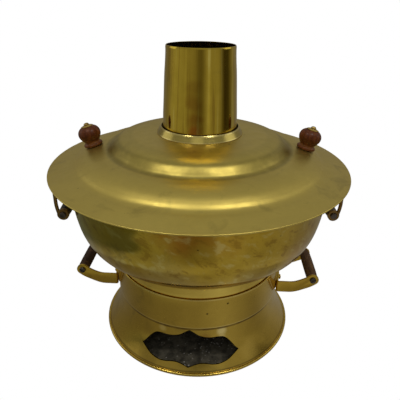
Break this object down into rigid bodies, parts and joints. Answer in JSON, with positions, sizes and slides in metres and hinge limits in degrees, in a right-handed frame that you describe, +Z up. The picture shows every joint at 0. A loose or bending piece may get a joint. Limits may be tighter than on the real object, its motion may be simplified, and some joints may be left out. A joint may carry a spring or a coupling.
{
  "type": "charcoal hot pot",
  "caption": "Brass charcoal hot pot: a bowl around a fire chamber and chimney, a stepped lid with turned wooden knobs, and a flared base with a fire window and side handles.",
  "frame": {"origin": "on the table, at the centre of the base", "axes": "+Z up the chimney; the base handles lie along X; the fire window faces -Y"},
  "size_m": [0.3302, 0.3302, 0.3355],
  "materials": {
    "lid_brass": "satin brushed",
    "bowl_brass": "polished, heat stained",
    "chimney_brass": "polished",
    "base_brass": "satin",
    "fitting_brass": "worn satin",
    "bail_brass": "tarnished",
    "sooty_floor": "sooty mottled",
    "grate_iron": "sooty",
    "dark_steel": "oxidised",
    "knob_wood": "varnished",
    "grip_wood": "worn",
    "dark_grip_wood": "dark"
  },
  "bodies": {
    "base": {"base_skirt": "base_brass", "base_neck": "base_brass", "pot_seat_ring": "base_brass", "base_floor": "sooty_floor", "base_handle_plate_right": "fitting_brass", "base_handle_plate_left": "fitting_brass", "base_handle_strap_right": "fitting_brass", "base_handle_strap_left": "fitting_brass", "base_handle_rivets_right": "fitting_brass", "base_handle_rivets_left": "fitting_brass", "base_grip_bolt_right": "dark_steel", "base_grip_bolt_left": "dark_steel", "base_grip_nut_right": "dark_steel", "base_grip_nut_left": "dark_steel"},
    "base_grip_right": {"base_grip_right": "grip_wood"},
    "base_grip_left": {"base_grip_left": "grip_wood"},
    "pot": {"bowl": "bowl_brass", "foot_ring": "bowl_brass", "fire_cone": "bowl_brass", "fire_grate": "grate_iron", "chimney": "chimney_brass", "bail_plate_right": "fitting_brass", "bail_plate_left": "fitting_brass", "bail_rivets_right": "fitting_brass", "bail_rivets_left": "fitting_brass", "bail_barrel_right": "fitting_brass", "bail_barrel_left": "fitting_brass"},
    "bail_right": {"bail_right": "bail_brass", "bail_bolt_right": "dark_steel", "bail_nut_right": "dark_steel"},
    "bail_left": {"bail_left": "bail_brass", "bail_bolt_left": "dark_steel", "bail_nut_left": "dark_steel"},
    "bail_grip_right": {"bail_grip_right": "dark_grip_wood"},
    "bail_grip_left": {"bail_grip_left": "dark_grip_wood"},
    "lid": {"lid_shell": "lid_brass", "lid_collar": "lid_brass", "knob_right": "knob_wood", "knob_left": "knob_wood", "knob_cup_right": "fitting_brass", "knob_cup_left": "fitting_brass", "knob_stud_right": "fitting_brass", "knob_stud_left": "fitting_brass", "knob_nut_right": "fitting_brass", "knob_nut_left": "fitting_brass"}
  },
  "joints": [
    {"name": "pot_lift", "type": "slide", "parent": "base", "child": "pot", "axis": [0, 0, 1], "range_m": [0, 0.12]},
    {"name": "lid_lift", "type": "slide", "parent": "pot", "child": "lid", "axis": [0, 0, 1], "range_m": [0, 0.14]},
    {"name": "bail_right_swing", "type": "hinge", "parent": "pot", "child": "bail_right", "pos_m": [0.15223, 0.01064, 0.1986], "axis": [0.0698, -0.9976, 0], "range_deg": [-5, 80]},
    {"name": "bail_left_swing", "type": "hinge", "parent": "pot", "child": "bail_left", "pos_m": [-0.15223, -0.01064, 0.1986], "axis": [-0.0698, 0.9976, 0], "range_deg": [-5, 80]},
    {"name": "bail_grip_right_spin", "type": "hinge", "parent": "bail_right", "child": "bail_grip_right", "pos_m": [0.15203, 0.01063, 0.157], "axis": [-0.0698, 0.9976, 0], "continuous": true},
    {"name": "bail_grip_left_spin", "type": "hinge", "parent": "bail_left", "child": "bail_grip_left", "pos_m": [-0.15203, -0.01063, 0.157], "axis": [-0.0698, 0.9976, 0], "continuous": true},
    {"name": "base_grip_right_spin", "type": "hinge", "parent": "base", "child": "base_grip_right", "pos_m": [0.1399, 0, 0.0743], "axis": [0, 1, 0], "continuous": true},
    {"name": "base_grip_left_spin", "type": "hinge", "parent": "base", "child": "base_grip_left", "pos_m": [-0.1399, 0, 0.0757], "axis": [0, 1, 0], "continuous": true}
  ]
}
